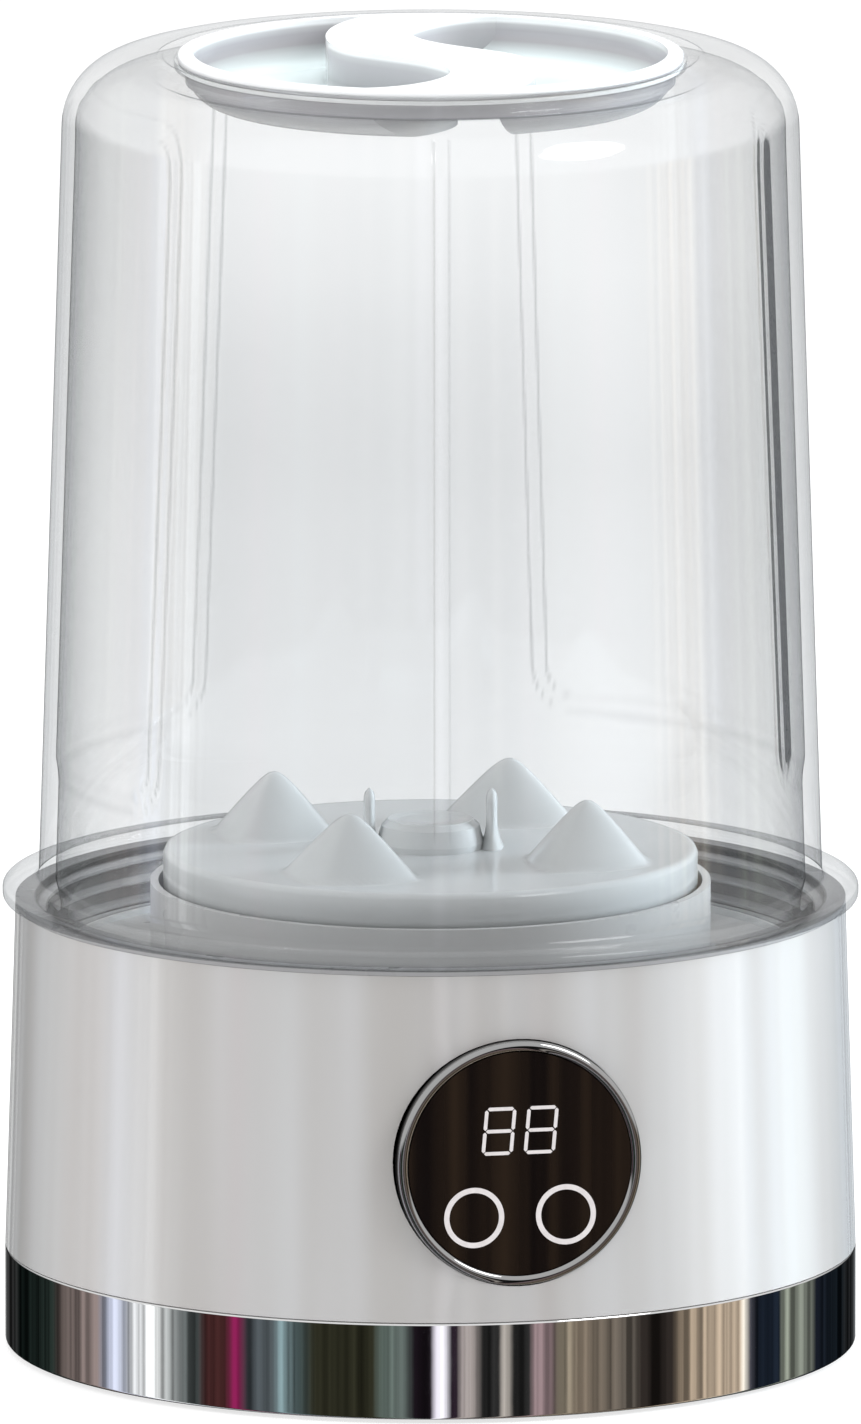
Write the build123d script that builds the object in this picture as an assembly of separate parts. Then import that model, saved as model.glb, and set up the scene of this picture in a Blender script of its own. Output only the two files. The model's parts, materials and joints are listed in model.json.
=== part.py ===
from build123d import *
import os
from math import acos, cos, pi, radians, sin, sqrt, tan

# Portable mini washer, millimetres. +Z is up, the floor is z = 0, the upright axis of the
# washer is the Z axis, and the control panel faces -Y. Angles around the axis are measured
# from the front (-Y) towards +X.

# ---- driving dimensions ----
SHELL_R = 85.0           # base shell where it meets the trim band
SHELL_TOP_R = 82.8       # base shell at its top edge
BAND_BOTTOM = 0.8
BAND_TOP = 20.2
DECK_TOP = 90.5          # top face of the base
LIP_H = 1.0              # lip of the deck that covers the shell's top edge
SHELL_WALL = 2.4
SKIRT_R = 82.2           # step of the shell that carries the trim band
FLOOR_Z = 1.5            # underside of the bottom plate
PLATE_T = 3.0

FLANGE_R = 85.4          # clear collar of the jar, which overhangs the shell
FLANGE_Z = 90.6
FLANGE_T = 3.0
JAR_R = 78.2             # jar wall just above the collar
JAR_SHOULDER_R = 73.3    # jar wall where the shoulder begins
JAR_SHOULDER_Z = 246.0
JAR_TOP = 259.7
JAR_WALL = 2.7
SHOULDER_FILLET = 13.7
SKIRT_OUT_R = 76.2       # jar skirt that drops into the base
SKIRT_IN_R = 73.8
SKIRT_BOTTOM = 79.4
RELIEF_DEPTH = 0.7       # recessed panels on the inside of the jar
RELIEF_FROM = 53.0
RELIEF_TO = 154.0
RELIEF_BOTTOM = 115.0
RELIEF_TOP = 246.0
RIB_AT = -8.0            # slim upright rib on the inside of the jar
RIB_W = 3.0

RIM_R = 50.3             # lid
RIM_T = 2.0
LID_TOP = 260.7
PAN_R = 48.7
PAN_IN_R = 47.2
PAN_BOTTOM = 254.8
BOWL_BOTTOM = 250.3
BOWL_WALL = 1.5
BOWL_ROUND = 7.5
HANDLE_TURN = -12.0      # turn of the S handle against the control panel

SOCKET_R = 78.6          # inside of the socket between its ridges
RIDGE_R = 76.8
RIDGES = (88.0, 84.0, 80.0)
RIDGE_HALF = 1.1
DECK_R = 80.2
GUTTER_Z = 78.0
CUP_R = 55.9
CUP_WALL = 1.6
CUP_TOP = 93.7
CUP_FLOOR = 80.0
HUB_R = 11.0
HUB_TOP = 88.0

PULSATOR_R = 53.3
PULSATOR_TOP = 100.3
FIN_TOP = 112.6
FIN_AT = 35.0
FIN_TURN = -39.0
CAP_R = 10.7
CAP_TOP = 106.0

PANEL_Z = 52.0
PANEL_FACE = 85.3        # distance of the bezel's face from the axis
BEZEL_R = 24.6
LENS_R = 22.4
LENS_FACE = 84.9
LENS_T = 2.0
DIGIT_H = 8.9
DIGIT_W = 5.6
DIGIT_X = 4.25
DIGIT_Z = 6.65
DIGIT_SLANT = 5.0
SEGMENT_T = 0.7
KEY_R = 6.05
KEY_LINE = 1.05
KEY_X = 9.25
KEY_Z = -10.55
PRINT_T = 0.12           # how far the lit segments and key rings stand proud

SHAFT_R = 3.0
RUNNING_FIT = 0.05
MODULE = 1.0
PRESSURE = 25.0
GEAR_TEETH = 60
PINION_TEETH = 12
BACKLASH = 0.15
GEAR_Z = 54.5
GEAR_T = 7.0
MOTOR_Y = MODULE * (GEAR_TEETH + PINION_TEETH) / 2
MOTOR_R = 18.0
MOTOR_BOTTOM = 9.5
MOTOR_SHAFT_R = 1.58
HOUSING_FLOOR = 48.0
HOUSING_TOP = 66.0
HOUSING_WALL = 2.0
GEAR_ROOM = 33.0
PINION_ROOM = 19.0
EAR_AT = 39.0
EAR_R = 4.5

POST_AT = 70.0           # posts that clamp the base together
POST_R = 4.5
FOOT_AT = 66.0
FOOT_R = 8.0

BOARD_Z = 14.0
BOARD_Y = -38.0
SOCKET_Z = 34.0          # power inlet at the back

CORNERS = (45, 135, 225, 315)
SIDES = (0, 90, 180, 270)
UPRIGHT = (Align.CENTER, Align.CENTER, Align.MIN)


# ---- helpers ----
def shell_radius(z):
    """Outer radius of the base shell at height z."""
    return SHELL_R - (SHELL_R - SHELL_TOP_R) * (z - BAND_TOP) / (DECK_TOP - BAND_TOP)


def jar_radius(z):
    """Outer radius of the jar's wall at height z."""
    low = FLANGE_Z + FLANGE_T
    return JAR_R - (JAR_R - JAR_SHOULDER_R) * (z - low) / (JAR_SHOULDER_Z - low)


def polar(radius, angle):
    """X and Y of a point at an angle from the front."""
    return radius * sin(radians(angle)), -radius * cos(radians(angle))


def rod(radius, low, high, x=0, y=0):
    """Upright cylinder between two heights."""
    return Pos(x, y, low) * Cylinder(radius, high - low, align=UPRIGHT)


def ring(inner, outer, low, high, x=0, y=0):
    """Upright tube between two heights."""
    return rod(outer, low, high, x, y) - rod(inner, low - 1, high + 1, x, y)


def block(x0, x1, y0, y1, z0, z1):
    """Box between two corners."""
    centre = Pos((x0 + x1) / 2, (y0 + y1) / 2, (z0 + z1) / 2)
    return centre * Box(x1 - x0, y1 - y0, z1 - z0)


def front_rod(radius, near, far, x=0, z=0):
    """Cylinder along Y between two distances in front of the axis."""
    return Pos(x, -far, z) * Rot(-90, 0, 0) * Cylinder(radius, far - near, align=UPRIGHT)


def turned(points, arc=360):
    """Solid of revolution of an outline of (radius, height) points, from +X on."""
    return revolve(make_face(Plane.XZ * Polyline(*points, close=True)), Axis.Z, arc)


def at_angles(angles, radius, solid):
    """Copies of a solid that stands on the axis, moved out to each angle."""
    return [Pos(*polar(radius, angle), 0) * solid for angle in angles]


def screw(head_r, head_h, shank_r, length, tip_up=True):
    """Cross-head screw with its head's outer face at z = 0 and its shank upwards."""
    body = rod(head_r, 0, head_h) + rod(shank_r, head_h, head_h + length)
    slot = block(-head_r * 0.6, head_r * 0.6, -0.4, 0.4, 0, head_h * 0.55)
    body -= slot + Rot(0, 0, 90) * slot
    return body if tip_up else Rot(180, 0, 0) * body


def union(solids):
    """Solids joined into one."""
    whole = solids[0]
    for solid in solids[1:]:
        whole += solid
    return whole


def wire(points, radii, thickness):
    """Round wire along straight runs joined by tangent arcs."""
    path = FilletPolyline(*points, radius=radii)
    start = Plane(origin=path @ 0, z_dir=path % 0)
    return sweep(start * Circle(thickness / 2), path=path)


# ---- gears ----
def gear_blank(teeth, turn):
    """Face of a spur gear with involute flanks, one tooth centred at the angle turn."""
    pitch_r = MODULE * teeth / 2
    base_r = pitch_r * cos(radians(PRESSURE))
    tip_r = pitch_r + MODULE * 0.95
    root_r = pitch_r - MODULE * 1.25
    half = (pi * MODULE / 2 - BACKLASH) / (2 * pitch_r)
    at_pitch = tan(radians(PRESSURE)) - radians(PRESSURE)
    steps = 4
    flank = []
    for step in range(steps + 1):
        radius = max(base_r, root_r) + (tip_r - max(base_r, root_r)) * step / steps
        roll = acos(min(1.0, base_r / radius))
        flank.append((radius, half + at_pitch - (tan(roll) - roll)))
    outline = []
    for tooth in range(teeth):
        middle = radians(turn) + 2 * pi * tooth / teeth
        gap = pi / teeth
        outline.append((root_r, middle - gap * 0.98))
        outline.append((root_r, middle - flank[0][1] - 0.01))
        outline += [(radius, middle - angle) for radius, angle in flank]
        outline += [(radius, middle + angle) for radius, angle in reversed(flank)]
        outline.append((root_r, middle + flank[0][1] + 0.01))
    points = [(radius * cos(angle), radius * sin(angle)) for radius, angle in outline]
    return make_face(Polyline(*points, close=True))


# ---- base ----
def base_shell():
    """White moulded wall with the window for the panel and the seat of the inlet."""
    top = DECK_TOP - LIP_H - 0.05
    inner_top = SHELL_TOP_R - SHELL_WALL
    shell = turned([
        (SKIRT_R, FLOOR_Z), (SKIRT_R, BAND_TOP + 0.1), (SHELL_R, BAND_TOP + 0.1),
        (shell_radius(top), top), (inner_top, top), (SHELL_R - SHELL_WALL, BAND_TOP + 8),
        (SKIRT_R - 1.8, BAND_TOP + 2), (SKIRT_R - 1.8, FLOOR_Z),
    ])
    sleeve = front_rod(BEZEL_R + 2.2, 74, 84, 0, PANEL_Z)
    sleeve_top = GUTTER_Z - 2.2
    inside = turned([
        (0, 20), (shell_radius(20) - 1, 20), (shell_radius(sleeve_top) - 1, sleeve_top),
        (0, sleeve_top),
    ])
    shell += sleeve & inside
    shell -= front_rod(BEZEL_R + 0.1, 70, 90, 0, PANEL_Z)
    shell -= Rot(0, 0, 180) * front_rod(5.6, 70, 90, 0, SOCKET_Z)
    shell -= Rot(0, 0, 180) * front_rod(7.2, 83.4, 90, 0, SOCKET_Z)
    return shell


def chrome_band():
    """Bright trim ring round the foot of the shell."""
    band = ring(SKIRT_R + 0.05, SHELL_R, BAND_BOTTOM, BAND_TOP)
    return fillet(band.edges().filter_by(GeomType.CIRCLE).group_by(SortBy.RADIUS)[-1], 0.5)


def deck():
    """Top moulding of the base: ridged socket, gutter, cup and shaft hub in one."""
    outline = [(CUP_R - 1, GUTTER_Z), (SOCKET_R, GUTTER_Z)]
    for height in sorted(RIDGES):
        outline += [
            (SOCKET_R, height - RIDGE_HALF), (RIDGE_R, height - 0.3),
            (RIDGE_R, height + 0.3), (SOCKET_R, height + RIDGE_HALF),
        ]
    outline += [
        (SOCKET_R, DECK_TOP), (SHELL_TOP_R, DECK_TOP), (SHELL_TOP_R, DECK_TOP - LIP_H),
        (DECK_R, DECK_TOP - LIP_H), (DECK_R, GUTTER_Z - 2), (CUP_R - 1, GUTTER_Z - 2),
    ]
    top = turned(outline)
    top += ring(CUP_R - CUP_WALL, CUP_R, GUTTER_Z - 2, CUP_TOP)
    top += rod(CUP_R - 0.5, CUP_FLOOR - 2, CUP_FLOOR)
    top += rod(HUB_R, HOUSING_TOP + 2.2, HUB_TOP)
    post_low = FLOOR_Z + PLATE_T
    top += at_angles(CORNERS, POST_AT, rod(POST_R, post_low, GUTTER_Z - 1))
    top += at_angles(CORNERS, EAR_AT, rod(EAR_R, HOUSING_TOP + 2.2, CUP_FLOOR - 1))
    top -= rod(SHAFT_R + 0.4, 60, 100)
    top -= rod(5.02, 60, 78)
    top -= rod(8.02, 82, 100)
    top -= union(at_angles(CORNERS, POST_AT, rod(1.3, 0, 20)))
    top -= union(at_angles(CORNERS, EAR_AT, rod(1.3, 60, 77)))
    top -= front_rod(BEZEL_R + 0.2, 74, 82, 0, PANEL_Z)
    return top


def housing_outline(wall):
    """Solid outline of the gearbox, two overlapping rounds, grown by a wall."""
    low, high = HOUSING_FLOOR, HOUSING_TOP
    return rod(GEAR_ROOM + wall, low, high) + rod(PINION_ROOM + wall, low, high, 0, MOTOR_Y)


def gearbox_housing():
    """Tray that holds the gears, the lower bush and the motor."""
    tray = housing_outline(HOUSING_WALL)
    tray += at_angles(CORNERS, EAR_AT, rod(EAR_R, HOUSING_FLOOR, HOUSING_TOP))
    tray -= Pos(0, 0, 2.5) * housing_outline(0)
    tray += rod(8, HOUSING_FLOOR - 2, HOUSING_FLOOR + 4.5)
    tray -= rod(5.02, 40, 60)
    tray -= rod(5.6, 40, 60, 0, MOTOR_Y)
    for side in (-1, 1):
        tray -= rod(1.7, 40, 60, side * 12, MOTOR_Y)
    tray -= union(at_angles(CORNERS, EAR_AT, rod(1.65, 40, 80)))
    return tray


def gearbox_cover():
    """Lid of the gearbox, clamped between the tray and the deck."""
    low, high = HOUSING_TOP, HOUSING_TOP + 2
    cover = rod(GEAR_ROOM + HOUSING_WALL, low, high)
    cover += rod(PINION_ROOM + HOUSING_WALL, low, high, 0, MOTOR_Y)
    cover += at_angles(CORNERS, EAR_AT, rod(EAR_R, low, high))
    cover -= rod(6, low - 1, high + 1)
    cover -= rod(3.0, low - 1, high + 1, 0, MOTOR_Y)
    cover -= union(at_angles(CORNERS, EAR_AT, rod(1.65, low - 1, high + 1)))
    return cover


def bottom_plate():
    """Floor of the base with vents, board supports and seats for the feet."""
    top = FLOOR_Z + PLATE_T
    plate = rod(SKIRT_R - 2.0, FLOOR_Z, top)
    plate -= union(at_angles(CORNERS, POST_AT, rod(1.7, 0, 9)))
    plate -= union(at_angles(SIDES, FOOT_AT, rod(FOOT_R + 0.05, 0, FLOOR_Z + 1)))
    plate -= union(at_angles(CORNERS, POST_AT, rod(3.3, 0, FLOOR_Z + 1.4)))
    for row in range(-3, 4):
        plate -= block(-16, 16, MOTOR_Y - 1 + row * 5, MOTOR_Y + 1 + row * 5, 0, 9)
    for x in (-26, 26):
        for y in (-18, 18):
            plate += rod(3, top, BOARD_Z, x, BOARD_Y + y) - rod(1.1, top + 2, 20, x, BOARD_Y + y)
    return plate


# ---- control panel ----
def panel_bezel():
    """Bright ring that frames the window and carries the display board."""
    bezel = front_rod(BEZEL_R, 76, PANEL_FACE, 0, PANEL_Z)
    bezel -= front_rod(LENS_R + 0.05, LENS_FACE - LENS_T, 90, 0, PANEL_Z)
    bezel -= front_rod(LENS_R - 1.4, 70, 90, 0, PANEL_Z)
    rim = bezel.edges().filter_by(GeomType.CIRCLE).group_by(Axis.Y)[0]
    bezel = fillet(rim, 0.35)
    for side in (-1, 1):
        bezel += front_rod(3.2, 77.7, 82, side * 18.6, PANEL_Z)
        bezel -= front_rod(1.1, 77, 81, side * 18.2, PANEL_Z)
    return bezel


def segment(length):
    """Face of one display bar, pointed at both ends, lying along X."""
    half, tip = SEGMENT_T / 2, length / 2
    return make_face(Polyline(
        (-tip, 0), (-tip + half, half), (tip - half, half),
        (tip, 0), (tip - half, -half), (-tip + half, -half), close=True,
    ))


def panel_print(face, x, z):
    """Thin solid of a face drawn on the window, at a place on the panel."""
    on_panel = Plane(origin=(x, -LENS_FACE, PANEL_Z + z), x_dir=(1, 0, 0), z_dir=(0, -1, 0))
    return extrude(on_panel * face, PRINT_T)


def display_digits():
    """Two seven-bar figures, all bars lit."""
    bars = []
    lean = tan(radians(DIGIT_SLANT))
    across, upright = DIGIT_W - 0.3, DIGIT_H / 2 - 0.3
    for middle in (-DIGIT_X, DIGIT_X):
        for level in (-1, 0, 1):
            z = level * DIGIT_H / 2
            bars.append(panel_print(segment(across), middle + z * lean, DIGIT_Z + z))
        for level in (-1, 1):
            z = level * DIGIT_H / 4
            for side in (-1, 1):
                bar = Rot(0, 0, 90 - DIGIT_SLANT) * segment(upright)
                x = middle + side * DIGIT_W / 2 + z * lean
                bars.append(panel_print(bar, x, DIGIT_Z + z))
    return Compound(children=bars)


def touch_rings():
    """Two printed circles that mark the touch keys."""
    circle = Circle(KEY_R) - Circle(KEY_R - KEY_LINE)
    return Compound(children=[panel_print(circle, x, KEY_Z) for x in (-KEY_X, KEY_X)])


def display_board():
    """Round circuit board behind the window, with the lamp block for the figures."""
    board = front_rod(20.8, 76.1, 77.6, 0, PANEL_Z)
    for side in (-1, 1):
        board -= front_rod(1.3, 75, 80, side * 18.2, PANEL_Z)
    board += block(-9, 9, -82.6, -77.5, PANEL_Z + 0.5, PANEL_Z + 13)
    return board


# ---- drive ----
def motor_can():
    """Drawn steel can of the motor, open at its lower end."""
    can = rod(MOTOR_R, MOTOR_BOTTOM, HOUSING_FLOOR, 0, MOTOR_Y)
    can -= rod(MOTOR_R - 1.2, 0, HOUSING_FLOOR - 1.5, 0, MOTOR_Y)
    can += ring(3.0, 5.4, HOUSING_FLOOR - 5, HOUSING_FLOOR + 2.4, 0, MOTOR_Y)
    can -= rod(3.0, 30, 60, 0, MOTOR_Y)
    for side in (-1, 1):
        can -= rod(1.3, 40, 60, side * 12, MOTOR_Y)
    return can


def motor_magnets():
    """Pair of curved magnets inside the can."""
    arc = ring(14.4, MOTOR_R - 1.25, 15, 42)
    arc &= block(0, 20, -11, 11, 0, 60)
    return Compound(children=[Pos(0, MOTOR_Y, 0) * Rot(0, 0, a) * arc for a in (0, 180)])


def motor_end_cap():
    """Plastic end cap that closes the can and carries the brushes."""
    cap = rod(MOTOR_R - 1.25, MOTOR_BOTTOM, MOTOR_BOTTOM + 2.5, 0, MOTOR_Y)
    cap += rod(5, MOTOR_BOTTOM - 2, MOTOR_BOTTOM + 1, 0, MOTOR_Y)
    cap -= rod(3.0, 0, 20, 0, MOTOR_Y)
    for side in (-1, 1):
        cap -= block(side * 12 - 1.6, side * 12 + 1.6, MOTOR_Y - 0.4, MOTOR_Y + 0.4, 0, 20)
        cap += block(side * 7 - 2.2, side * 7 + 2.2, MOTOR_Y - 2, MOTOR_Y + 2, 11, 15)
    return cap


def rotor_core():
    """Laminated rotor with five slots."""
    core = rod(13.6, 17, 40)
    for pole in range(5):
        slot = block(4.5, 11, -3.2, 3.2, 16, 41) + block(10, 15, -1, 1, 16, 41)
        core -= Rot(0, 0, pole * 72) * slot
    core -= rod(MOTOR_SHAFT_R + 0.01, 0, 60)
    return Pos(0, MOTOR_Y, 0) * core


def rotor_windings():
    """Five copper coils, one in each slot of the rotor."""
    coil = block(4.7, 9.6, -2.9, 2.9, 15.5, 41.5)
    coils = [Pos(0, MOTOR_Y, 0) * Rot(0, 0, pole * 72) * coil for pole in range(5)]
    return Compound(children=coils)


def pinion():
    """Small steel gear on the motor shaft, a gap facing the drive gear."""
    low, high = GEAR_Z - 1.5, GEAR_Z + GEAR_T + 1.5
    half_tooth = 180 / PINION_TEETH
    solid = extrude(Pos(0, 0, low) * gear_blank(PINION_TEETH, 90 + half_tooth), high - low)
    solid -= rod(MOTOR_SHAFT_R + 0.01, low - 1, high + 1)
    return Pos(0, MOTOR_Y, 0) * solid


def drive_gear():
    """Large gear that carries the pulsator's shaft."""
    solid = extrude(Pos(0, 0, GEAR_Z) * gear_blank(GEAR_TEETH, 90), GEAR_T)
    solid -= ring(9, 26, GEAR_Z + GEAR_T - 2.2, GEAR_Z + GEAR_T + 1)
    solid -= union(at_angles(range(0, 360, 60), 17.5, rod(4, 50, 70)))
    solid += rod(8, GEAR_Z - 0.3, GEAR_Z + GEAR_T + 3)
    return solid - rod(SHAFT_R + 0.01, 40, 80)


def pulsator():
    """Agitator disc with four sail-shaped fins and two small blades by its hub."""
    low = PULSATOR_TOP - 2.3
    disc = rod(PULSATOR_R, low, PULSATOR_TOP)
    disc += ring(PULSATOR_R - 1.8, PULSATOR_R, 90, PULSATOR_TOP)
    disc += rod(7, 90, PULSATOR_TOP)
    base = PULSATOR_TOP - 0.5
    sections = ((base, 14.0, 12.0), (106, 8.4, 7.0), (110.5, 4.4, 3.4), (FIN_TOP, 1.8, 1.2))
    fin = loft([Pos(0, -FIN_AT, z) * Ellipse(a, b) for z, a, b in sections])
    disc += [Rot(0, 0, FIN_TURN + quarter * 90) * fin for quarter in range(4)]
    blade = extrude(
        Plane.YZ.offset(CAP_R + 0.3)
        * make_face(Polyline((-5, base), (5, base), (2, 112), (-2, 112), close=True)), 2.6,
    )
    disc += [Rot(0, 0, HANDLE_TURN + half * 180) * blade for half in range(2)]
    disc -= rod(SHAFT_R + 0.01, 80, 120)
    return disc


def pulsator_cap():
    """Smooth nut that holds the pulsator on its shaft."""
    cap = turned([
        (0, PULSATOR_TOP + 0.02), (CAP_R, PULSATOR_TOP + 0.02), (CAP_R, PULSATOR_TOP + 1.2),
        (CAP_R - 0.9, CAP_TOP - 1.2), (CAP_R - 2.2, CAP_TOP), (CAP_R - 4, CAP_TOP - 0.4),
        (0, CAP_TOP - 1.1),
    ])
    return cap - rod(SHAFT_R + 0.01, 90, 103.7)


# ---- electrics ----
def control_board():
    """Main circuit board on the bottom plate."""
    board = block(-31, 31, BOARD_Y - 22, BOARD_Y + 22, BOARD_Z, BOARD_Z + 1.6)
    for x in (-26, 26):
        for y in (-18, 18):
            board -= rod(1.4, 0, 30, x, BOARD_Y + y)
    return board


def board_parts():
    """Capacitors, coil, driver, buzzer and plug sockets on the main board."""
    top = BOARD_Z + 1.6
    solids = [rod(4, top, top + 11, x, BOARD_Y + 4) for x in (-16, -6)]
    solids.append(rod(5, top, top + 7, 16, BOARD_Y + 5))
    solids.append(block(-4, 8, BOARD_Y - 12, BOARD_Y - 5, top, top + 3))
    solids.append(ring(2.5, 5.5, top, top + 4.5, -18, BOARD_Y - 8))
    for x in (-9, 9):
        solids.append(block(x - 4, x + 4, BOARD_Y + 15, BOARD_Y + 21, top, top + 5))
    solids.append(block(-5, 5, BOARD_Y - 21, BOARD_Y - 16, top, top + 5))
    return Compound(children=solids)


def power_socket():
    """Round low-voltage inlet in the back of the shell."""
    body = front_rod(5.5, 66, 84, 0, SOCKET_Z) + front_rod(7.0, 83.45, 85.2, 0, SOCKET_Z)
    body -= front_rod(2.8, 74, 90, 0, SOCKET_Z)
    return Rot(0, 0, 180) * body


def power_pin():
    """Contact pin in the middle of the inlet."""
    return Rot(0, 0, 180) * front_rod(1.0, 74, 83.6, 0, SOCKET_Z)


def power_socket_nut():
    """Ring nut that holds the inlet from inside."""
    hexagon = Plane(origin=(0, 80.6, SOCKET_Z), x_dir=(1, 0, 0), z_dir=(0, -1, 0))
    nut = extrude(hexagon * RegularPolygon(8.0, 6), 3)
    return nut - Rot(0, 0, 180) * front_rod(5.52, 60, 90, 0, SOCKET_Z)


def motor_leads():
    """Two wires from the motor's tabs to the main board."""
    leads = []
    for side in (-1, 1):
        leads.append(wire(
            [(side * 13.55, MOTOR_Y, 7.2), (side * 21, MOTOR_Y, 7.2), (side * 25, 20, 7.2),
             (side * 24, 4, 9), (side * 9, -5, 18.1), (side * 9, BOARD_Y + 21.05, 18.1)],
            [3, 6, 5, 4], 1.6,
        ))
    return Compound(children=leads)


def power_leads():
    """Two wires from the inlet to the main board's second plug."""
    leads = []
    for side in (-1, 1):
        leads.append(wire(
            [(side * 2.5, 65.95, SOCKET_Z), (side * 2.5, 60, SOCKET_Z), (side * 30, 50, 28),
             (side * 40, 10, 24), (side * 38, BOARD_Y, 24), (side * 28, BOARD_Y, 16.6)],
            [2, 8, 12, 4], 1.6,
        ))
    return Compound(children=leads)


# ---- jar and lid ----
def jar():
    """Clear jar: collar, skirt, tapered wall, rounded shoulder and ledged neck."""
    low = FLANGE_Z + FLANGE_T
    neck_low = JAR_TOP - 4.2
    outer = make_face(Plane.XZ * Polyline(
        (0, low - 1), (JAR_R, low - 1), (JAR_R, low), (JAR_SHOULDER_R, JAR_SHOULDER_Z),
        (JAR_SHOULDER_R - 0.4, JAR_TOP), (0, JAR_TOP), close=True,
    ))
    inner_top = JAR_TOP - JAR_WALL
    inner = make_face(Plane.XZ * Polyline(
        (0, FLANGE_Z - 1), (SKIRT_IN_R, FLANGE_Z - 1), (SKIRT_IN_R, FLANGE_Z + 1),
        (JAR_R - JAR_WALL, low), (JAR_SHOULDER_R - JAR_WALL, JAR_SHOULDER_Z),
        (JAR_SHOULDER_R - JAR_WALL - 0.3, inner_top), (0, inner_top), close=True,
    ))
    body = revolve(outer, Axis.Z)
    shoulder = body.edges().filter_by(GeomType.CIRCLE).sort_by(Axis.Z)[-1]
    body = fillet(shoulder, SHOULDER_FILLET - 0.3)
    hollow = revolve(inner, Axis.Z)
    shoulder = hollow.edges().filter_by(GeomType.CIRCLE).sort_by(Axis.Z)[-1]
    hollow = fillet(shoulder, SHOULDER_FILLET - JAR_WALL)
    body += ring(SKIRT_IN_R, FLANGE_R, FLANGE_Z, low)
    body += ring(SKIRT_IN_R, SKIRT_OUT_R, SKIRT_BOTTOM, FLANGE_Z + 1)
    body -= hollow
    body += ring(PAN_R + 0.4, 54.5, neck_low, JAR_TOP)
    body += ring(53.0, 54.2, JAR_TOP - 0.5, JAR_TOP + 0.6)
    body -= rod(PAN_R + 0.4, neck_low - 1, JAR_TOP + 2)
    body -= rod(RIM_R + 0.5, LID_TOP - RIM_T - 0.9, JAR_TOP + 2)
    recess = []
    for start in (RELIEF_FROM, -RELIEF_TO):
        face = turned([
            (jar_radius(RELIEF_BOTTOM) - JAR_WALL - 2, RELIEF_BOTTOM),
            (jar_radius(RELIEF_BOTTOM) - JAR_WALL + RELIEF_DEPTH, RELIEF_BOTTOM),
            (jar_radius(RELIEF_TOP) - JAR_WALL + RELIEF_DEPTH, RELIEF_TOP),
            (jar_radius(RELIEF_TOP) - JAR_WALL - 2, RELIEF_TOP),
        ], RELIEF_TO - RELIEF_FROM)
        recess.append(Rot(0, 0, start - 90) * face)
    body -= union(recess)
    half_rib = RIB_W / 2
    rib = turned([
        (jar_radius(RELIEF_BOTTOM) - JAR_WALL - 0.8, RELIEF_BOTTOM),
        (jar_radius(RELIEF_BOTTOM) - JAR_WALL + 0.2, RELIEF_BOTTOM),
        (jar_radius(RELIEF_TOP) - JAR_WALL + 0.2, RELIEF_TOP),
        (jar_radius(RELIEF_TOP) - JAR_WALL - 0.8, RELIEF_TOP),
    ], RIB_W / 73 * 180 / pi)
    body += Rot(0, 0, RIB_AT - 90 - half_rib / 73 * 180 / pi) * rib
    return body


def pocket_face(grow):
    """Outline of the lid's left pocket: the rim on one side, the S handle on the other."""
    radius = PAN_IN_R + grow
    edge = Spline(
        (-13.5 + grow * 0.2, sqrt(radius ** 2 - 13.5 ** 2)), (-20.9 + grow, 21),
        (-16.5 + grow, 3 + grow * 0.5), (-4, -9 + grow), (3.8 + grow, -22.5),
        (-1 + grow, -38), (-13, -sqrt(radius ** 2 - 13 ** 2)),
    )
    rim = ThreePointArc(edge @ 1, (-radius, 0), edge @ 0)
    return make_face([edge, rim])


def pocket(grow, low, high, rounding):
    """Both pockets as solids, from the floor up, rounded below along the rim."""
    radius = PAN_IN_R + grow
    shape = extrude(Pos(0, 0, low) * pocket_face(grow), high - low)
    bowl = rod(radius, low, high)
    bowl = fillet(bowl.edges().filter_by(GeomType.CIRCLE).sort_by(Axis.Z)[0], rounding)
    one = Rot(0, 0, HANDLE_TURN) * (shape & bowl)
    return one, Rot(0, 0, 180) * one


def lid():
    """Round lid with two pockets that leave an S-shaped handle between them."""
    plate_low = LID_TOP - 1.8
    body = rod(RIM_R, LID_TOP - RIM_T, LID_TOP)
    body = fillet(body.edges().filter_by(GeomType.CIRCLE), 0.7)
    body += ring(PAN_IN_R, PAN_R, PAN_BOTTOM, plate_low + 0.5)
    for solid in pocket(BOWL_WALL, BOWL_BOTTOM, plate_low + 0.5, BOWL_ROUND):
        body += solid
    for solid in pocket(0, BOWL_BOTTOM + BOWL_WALL, LID_TOP + 2, BOWL_ROUND - BOWL_WALL):
        body -= solid
    return body


def feet():
    """Four soft feet under the bottom plate."""
    foot = rod(FOOT_R, 0, FLOOR_Z + 0.95)
    foot = fillet(foot.edges().filter_by(GeomType.CIRCLE).sort_by(Axis.Z)[0], 0.5)
    return Compound(children=at_angles(SIDES, FOOT_AT, foot))


def group(angles, radius, solid):
    """Like pieces in one node."""
    return Compound(children=at_angles(angles, radius, solid))


BUSH_IN_R = SHAFT_R + RUNNING_FIT
MOTOR_BUSH_IN_R = MOTOR_SHAFT_R + RUNNING_FIT

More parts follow.
